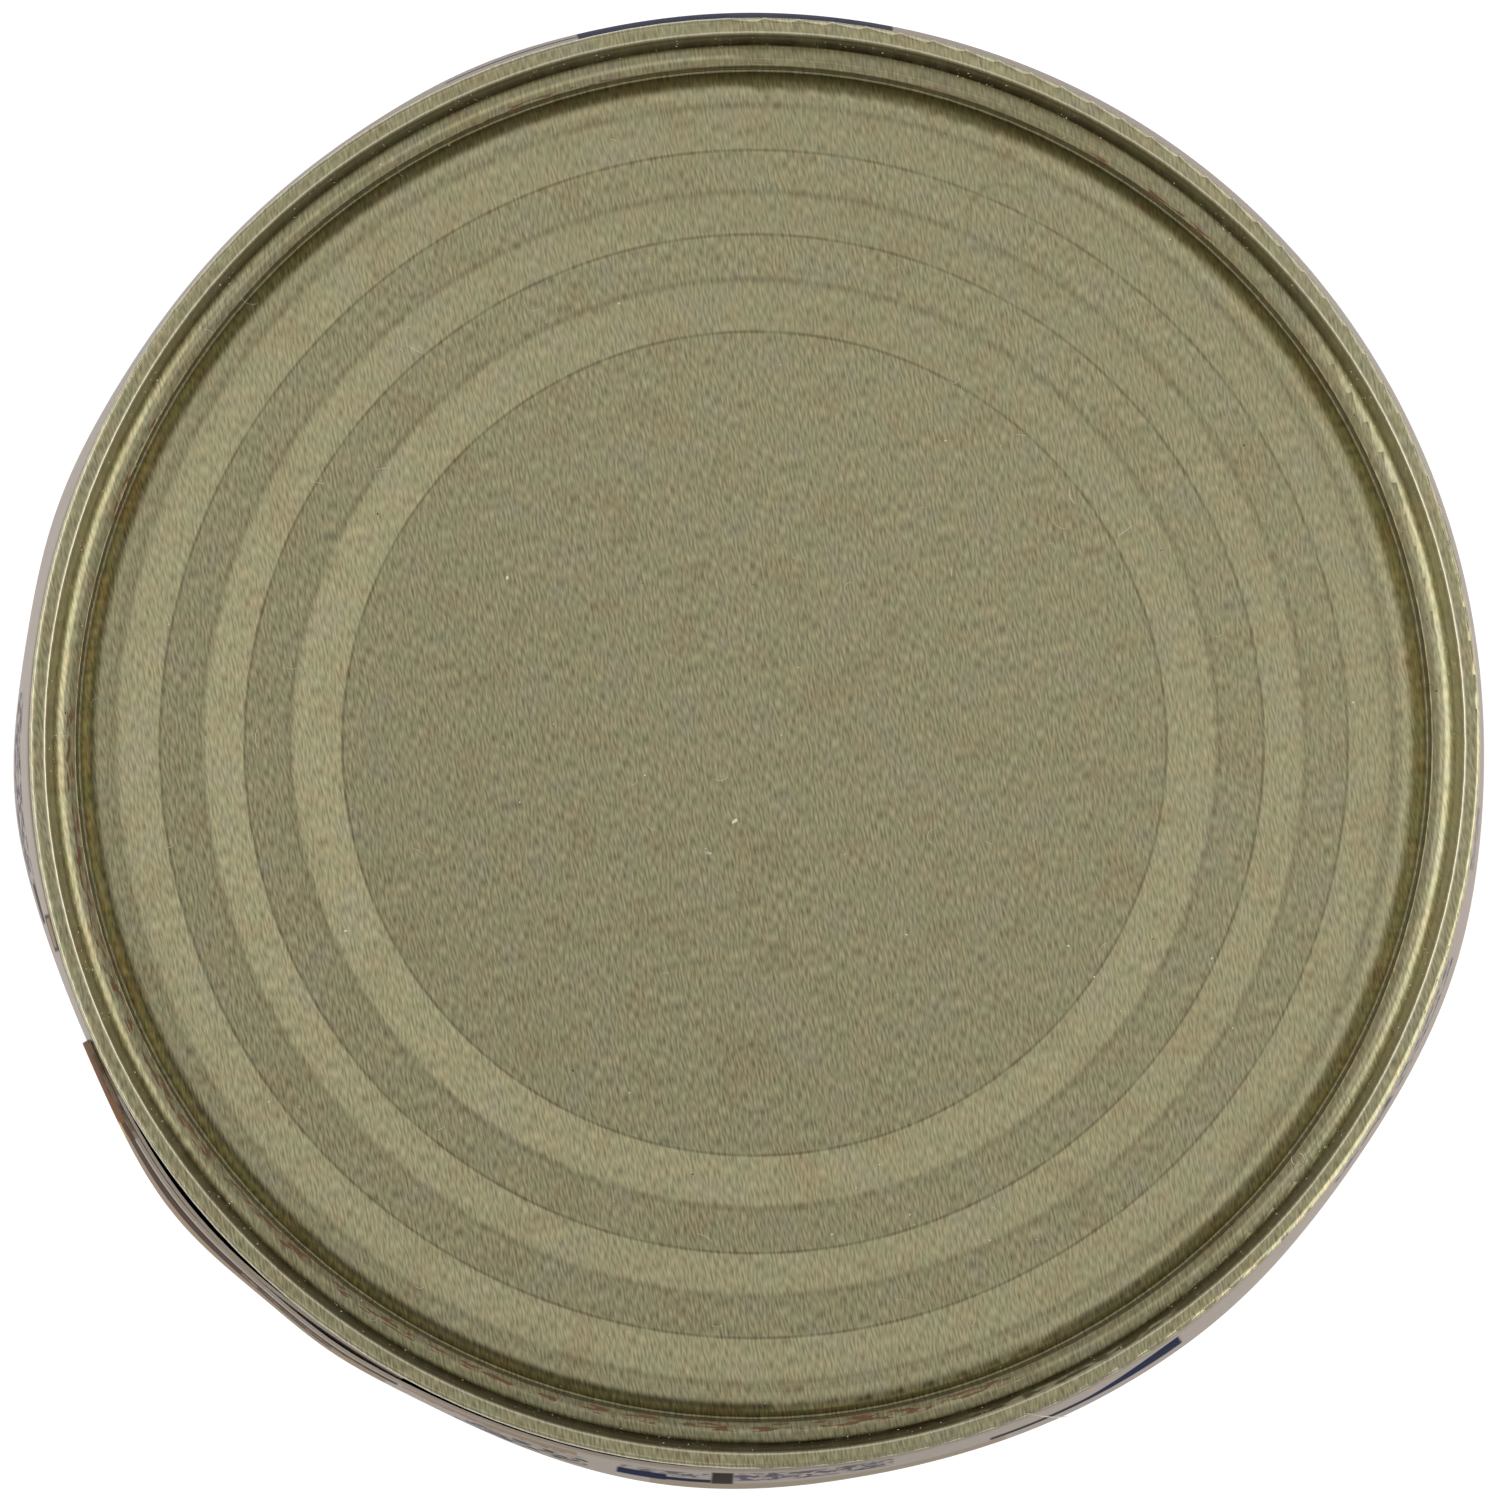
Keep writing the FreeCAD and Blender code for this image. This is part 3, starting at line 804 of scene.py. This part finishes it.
# The loop of lint on the ledge: where it starts, its first heading, turn at each step, steps
LOOP_START = (27.0 * MM, -20.7 * MM, 0)
LOOP_HEADING = 250
LOOP_BEND = 16
LOOP_STEPS = 19
# The strand that hangs out over the label: where it leaves the seam in radius, azimuth and
# depth under the crest, each followed by how far it goes from there; lengths in millimetres
HANG_RADIUS = (36.16, 1.0)
HANG_AZIMUTH = (292.0, 2.4, 0.5)
HANG_DROP = (0.06, 0.9)
HANG_STEPS = 14


class Ground:
    """The shown end's surface, for what lies on it."""

    def __init__(self, node):
        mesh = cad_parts[node].data
        self.tree = BVHTree.FromPolygons([vertex.co for vertex in mesh.vertices],
                                         [polygon.vertices for polygon in mesh.polygons])

    def under(self, x, y):
        """The place on the surface under a point, and the surface's upward normal."""
        place, normal, _, _ = self.tree.ray_cast(Vector((x, y, DROP_FROM)), Vector((0, 0, -1)))
        return place, normal if normal.z > 0 else -normal


def random_spot(chance, inner, outer):
    """A random point of a ring, even over its area, in metres."""
    radius = math.sqrt(chance.uniform(inner ** 2, outer ** 2)) * MM
    return on_circle(radius, chance.uniform(0, 360), 0)


def add_chip(points, faces, ground, chance, spot, length, heading):
    """One flat broken chip, lying on the end."""
    place, normal = ground.under(spot.x, spot.y)
    along = on_circle(1, heading, 0)
    along = (along - normal * along.dot(normal)).normalized()
    across = normal.cross(along)
    width = length * chance.uniform(*CHIP_WIDTH)
    thick = length * chance.uniform(*CHIP_THICK)
    first = len(points)
    for corner in range(CHIP_CORNERS):
        shift = chance.uniform(-CORNER_SHIFT, CORNER_SHIFT)
        angle = 2 * math.pi * (corner + shift) / CHIP_CORNERS
        reach = chance.uniform(*CORNER_REACH)
        points.append(place + reach * (math.cos(angle) * length / 2 * along
                                       + math.sin(angle) * width / 2 * across))
    points.append(place + normal * thick)
    points.append(place - normal * thick * CHIP_SUNK)
    for corner in range(CHIP_CORNERS):
        after = (corner + 1) % CHIP_CORNERS
        faces.append((first + corner, first + after, first + CHIP_CORNERS))
        faces.append((first + after, first + corner, first + CHIP_CORNERS + 1))


def add_strand(points, faces, path, thick):
    """A thin round strand along a path, closed and narrower at both ends."""
    first = len(points)
    last = len(path) - 1
    for index, place in enumerate(path):
        ahead = path[min(index + 1, last)] - path[max(index - 1, 0)]
        side = ahead.cross(Vector((0, 0, 1))).normalized()
        over = side.cross(ahead).normalized()
        reach = thick * (STRAND_TIP if index in (0, last) else 1.0)
        for corner in range(STRAND_SIDES):
            angle = 2 * math.pi * corner / STRAND_SIDES
            points.append(place + reach * (math.cos(angle) * side + math.sin(angle) * over))
    for index in range(last):
        ring = first + index * STRAND_SIDES
        for corner in range(STRAND_SIDES):
            after = (corner + 1) % STRAND_SIDES
            faces.append((ring + corner, ring + STRAND_SIDES + corner,
                          ring + STRAND_SIDES + after, ring + after))
    faces.append([first + corner for corner in range(STRAND_SIDES)])
    faces.append([len(points) - 1 - corner for corner in range(STRAND_SIDES)])


def lying_path(ground, spot, heading, bend, steps, thick):
    """A path over the end that starts at a spot and turns a little at each step."""
    path = []
    for _ in range(steps):
        place, normal = ground.under(spot.x, spot.y)
        path.append(place + normal * thick * STRAND_LIFT)
        spot = spot + on_circle(STRAND_STEP, heading, 0)
        heading += bend
    return path


def make_dust_look(name, pale, dull):
    """A matt, rough matter whose colour wavers between two."""
    shade = new_shade(name)
    tone = shade.noise(shade.place(), 900, 1.0, 0.5)
    colour = shade.mix(shade.ramp(tone, 0.4, 0.6), pale, dull)
    normal = shade.bump(shade.noise(shade.place(), 60000, 2.0, 0.5), 0.004 * MM, 0.5)
    return shade.surface(colour, 0.8, 0.0, normal, Specular_IOR_Level=0.3)


def make_specks(name, ground, material, zones, chips, seed):
    """Specks strewn over zones of the end, and a few larger chips at places of their own."""
    chance = random.Random(seed)
    points = []
    faces = []
    for count, inner, outer in zones:
        for _ in range(count):
            length = (SPECK_LENGTH[0] + SPECK_LENGTH[1] * chance.random() ** 3) * MM
            add_chip(points, faces, ground, chance, random_spot(chance, inner, outer),
                     length, chance.uniform(0, 180))
    for x, y, length, heading in chips:
        add_chip(points, faces, ground, chance, Vector((x * MM, y * MM, 0)), length * MM, heading)
    specks = tin_piece(name, points, faces, material, smooth=False)


def make_fibres(ground, material):
    """Short bent fibres that lie about on the end."""
    chance = random.Random(SEED + 1)
    points = []
    faces = []
    for count, inner, outer in FIBRE_ZONES:
        for _ in range(count):
            thick = chance.uniform(*FIBRE_THICK) * MM
            spot = random_spot(chance, inner, outer)
            path = lying_path(ground, spot, chance.uniform(0, 360),
                              chance.uniform(-FIBRE_BEND, FIBRE_BEND),
                              chance.randint(*FIBRE_STEPS), thick)
            add_strand(points, faces, path, thick)
    fibres = tin_piece("dust_fibres", points, faces, material)


def make_lint(ground, material):
    """A loop of lint on the ledge, and a strand that hangs out over the label's edge."""
    points = []
    faces = []
    loop = lying_path(ground, Vector(LOOP_START), LOOP_HEADING, LOOP_BEND, LOOP_STEPS,
                      LINT_THICK)
    add_strand(points, faces, loop, LINT_THICK)
    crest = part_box("end_top")[1].z
    radius, reach = HANG_RADIUS
    azimuth, sweep, curl = HANG_AZIMUTH
    start, fall = HANG_DROP
    hanging = []
    for step in range(HANG_STEPS + 1):
        share = step / HANG_STEPS
        hanging.append(on_circle((radius + reach * share) * MM,
                                 azimuth + sweep * share + curl * share ** 4,
                                 crest - (start + fall * share ** 2) * MM))
    add_strand(points, faces, hanging, LINT_THICK)
    lint = tin_piece("lint_strands", points, faces, material)


# ---- Camera, floor and light ----

CAMERA_DISTANCE = 0.84
CAMERA_LEAN = (-1.2, -1.0)      # degrees that the camera leans towards X and Y
VIEW_WIDTH = 75 * MM
VIEW_CENTRE = (-0.275 * MM, -0.37 * MM)
VIEW_DEPTH = 20
SENSOR = 36.0


def make_camera(crest):
    """The camera looks down on the tin, with X to the right and Y up."""
    target = Vector((*VIEW_CENTRE, crest))
    lean = [math.sin(math.radians(angle)) for angle in CAMERA_LEAN]
    backward = Vector((*lean, 1.0)).normalized()
    right = Vector((0, 1, 0)).cross(backward).normalized()
    up = backward.cross(right)
    data = bpy.data.cameras.new("camera")
    data.sensor_width = SENSOR
    data.lens = SENSOR * CAMERA_DISTANCE / VIEW_WIDTH
    data.clip_end = VIEW_DEPTH
    camera = bpy.data.objects.new("camera", data)
    facing = Matrix((right, up, backward)).transposed().to_4x4()
    camera.matrix_world = Matrix.Translation(target + CAMERA_DISTANCE * backward) @ facing
    bpy.context.scene.collection.objects.link(camera)
    bpy.context.scene.camera = camera


def seen_directly(shade):
    """1 for what the camera sees, straight or in a reflection."""
    path = shade.node("ShaderNodeLightPath").outputs
    return shade.either(path["Is Camera Ray"], path["Is Glossy Ray"], path["Is Transmission Ray"])


WHITE = (1, 1, 1, 1)
FLOOR_HALF = 1.5
FLOOR_GLOW = 0.7                # what the floor adds to its lit grey, to look white
FLOOR_GREY = (0.5, 0.5, 0.5, 1)


def make_floor():
    """A floor that looks white and takes the tin's shadow, but lights nothing itself."""
    shade = new_shade("floor_look")
    glow = shade.node("ShaderNodeEmission")
    glow.inputs["Color"].default_value = WHITE
    shade.feed(glow.inputs["Strength"], shade.times(seen_directly(shade), FLOOR_GLOW))
    chalk = shade.node("ShaderNodeBsdfDiffuse")
    chalk.inputs["Color"].default_value = FLOOR_GREY
    both = shade.node("ShaderNodeAddShader")
    shade.feed(both.inputs[0], glow.outputs[0])
    shade.feed(both.inputs[1], chalk.outputs[0])
    look = shade.close(both.outputs[0], "ShaderNodeOutputMaterial")
    look.cycles.emission_sampling = "NONE"
    corners = [(FLOOR_HALF * x, FLOOR_HALF * y, 0) for x, y in ((-1, -1), (1, -1), (1, 1), (-1, 1))]
    mesh_object("floor", corners, [(0, 1, 2, 3)], look)


SKY_COLOUR = (1.0, 0.99, 0.97, 1)
SKY_ZENITH = 0.535
SKY_RING = 1.04                 # level of the overhead panel round its darker middle
SKY_SIDE = 0.56
# Degrees off the zenith over which the middle gives way to the ring, and that to the side
RING_INNER = (5, 17)
RING_OUTER = (26, 36)
# How the ring changes round the compass: shares of the turn's cosine and sine, and of twice it
SKY_TURNS = (-0.14, -0.13, 0.06, -0.04)
NEAR_UP = 0.99999               # keeps the arccosine within its range


def make_world():
    """White to the camera; to all else an overhead panel in a darker room."""
    world = bpy.data.worlds.new("studio")
    bpy.context.scene.world = world
    shade = Shade(world)
    x, y, z = shade.split(shade.node("ShaderNodeTexCoord").outputs["Generated"])
    up = shade.least(z, NEAR_UP)
    off = shade.times(shade.math("ARCCOSINE", up), 180 / math.pi)
    turn = shade.math("ARCTAN2", y, x)
    double = shade.times(turn, 2.0)
    waves = [shade.math(wave, angle) for angle in (turn, double) for wave in ("COSINE", "SINE")]
    turns = shade.add(1.0, *[shade.times(wave, share) for wave, share in zip(waves, SKY_TURNS)])
    ring = shade.times(shade.ramp(off, *RING_INNER), shade.ramp(off, *RING_OUTER, 1.0, 0.0))
    level = shade.add(shade.ramp(off, *RING_INNER, SKY_ZENITH, 0.0),
                      shade.ramp(off, *RING_OUTER, 0.0, SKY_SIDE),
                      shade.times(ring, turns, SKY_RING))
    sky = shade.node("ShaderNodeBackground")
    sky.inputs["Color"].default_value = SKY_COLOUR
    shade.feed(sky.inputs["Strength"], level)
    white = shade.node("ShaderNodeBackground")
    white.inputs["Color"].default_value = WHITE
    seen = shade.node("ShaderNodeLightPath").outputs["Is Camera Ray"]
    shade.close(shade.mix_shader(seen, sky.outputs[0], white.outputs[0]), "ShaderNodeOutputWorld")


SOFTBOX_SIZE = (1.1, 0.85)
SOFTBOX_RADIANCE = 1.6
SOFTBOX_ELEVATION = 24
SOFTBOX_LIFT = 0.1              # about the height of the tin, at which both aim
# Azimuth and colour
SOFTBOXES = {"softbox_left": (180, (0.96, 0.98, 1.0)), "softbox_right": (0, (1.0, 0.98, 0.95))}


def make_lights():
    """Large soft lamps a metre off, that face the tin from both sides."""
    width, tall = SOFTBOX_SIZE
    climb = math.radians(SOFTBOX_ELEVATION)
    for name, (azimuth, colour) in SOFTBOXES.items():
        data = bpy.data.lights.new(name, "AREA")
        data.shape = "RECTANGLE"
        data.size = width
        data.size_y = tall
        data.energy = SOFTBOX_RADIANCE * math.pi * width * tall
        data.color = colour
        lamp = bpy.data.objects.new(name, data)
        place = on_circle(math.cos(climb), azimuth, math.sin(climb))
        lamp.location = place + Vector((0, 0, SOFTBOX_LIFT))
        lamp.rotation_euler = place.to_track_quat("Z", "Y").to_euler()
        lamp.visible_camera = False
        bpy.context.scene.collection.objects.link(lamp)


# ---- Put together ----

tinplate = make_tinplate("tinplate_look")
looks = {"end_top": tinplate, "end_bottom": tinplate, "body": make_body_steel()}
for node, look in looks.items():
    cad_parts[node].material_slots[0].material = look
make_label(make_label_print(), make_paper_back())
shown_end = Ground("end_top")
pale_dust = make_dust_look("dust_look", *PALE_DUST)
make_specks("dust_specks", shown_end, pale_dust, SPECK_ZONES, CHIPS, SEED)
dark_grit = make_dust_look("grit_look", *DARK_GRIT)
make_specks("grit_specks", shown_end, dark_grit, DARK_ZONES, DARK_CHIPS, SEED + 2)
fibre_look = make_dust_look("fibre_look", *FIBRE)
make_fibres(shown_end, fibre_look)
make_lint(shown_end, fibre_look)
make_camera(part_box("end_top")[1].z)
make_floor()
make_world()
make_lights()
bpy.context.scene.view_settings.view_transform = "Standard"
